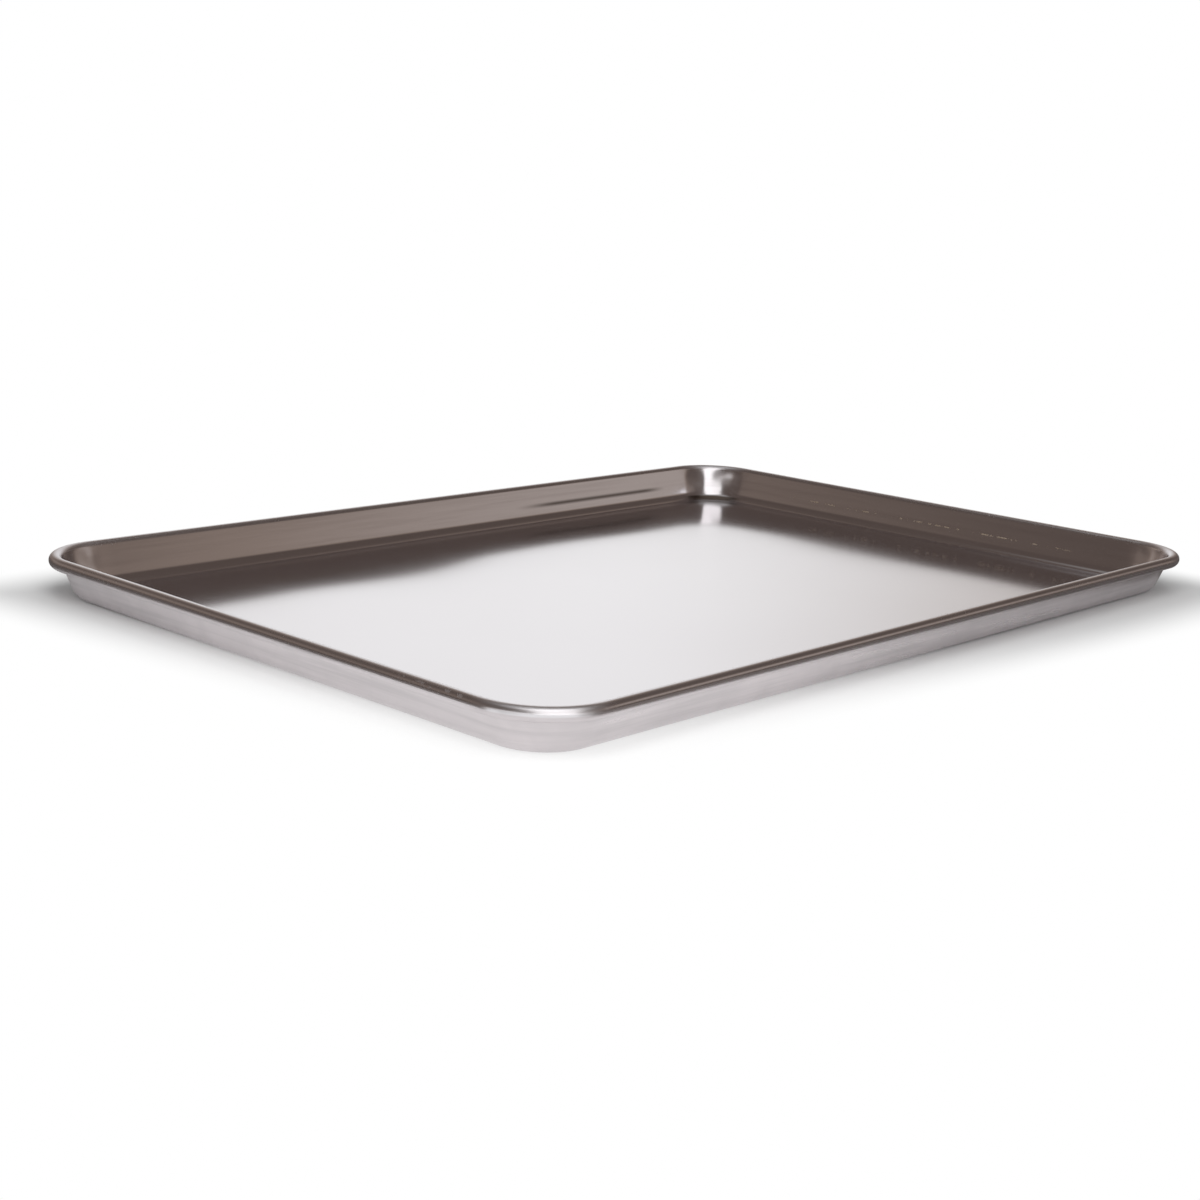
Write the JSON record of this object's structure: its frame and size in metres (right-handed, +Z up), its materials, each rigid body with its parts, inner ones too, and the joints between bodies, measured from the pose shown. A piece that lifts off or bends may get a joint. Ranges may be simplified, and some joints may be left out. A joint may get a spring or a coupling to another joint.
{
  "type": "sheet pan",
  "caption": "Shallow rectangular baking sheet pan of stamped aluminium, with flared walls, rounded corners and a wire-reinforced rolled rim.",
  "frame": {"origin": "centre of the flat underside that the pan stands on", "axes": "+X along the long side, +Y along the short side, +Z up out of the pan"},
  "size_m": [0.6604, 0.4572, 0.0286],
  "materials": {
    "satin_aluminium": "satin",
    "galvanised_steel": "galvanised"
  },
  "bodies": {
    "root": {"pan_sheet": "satin_aluminium", "rim_wire": "galvanised_steel"}
  },
  "joints": []
}
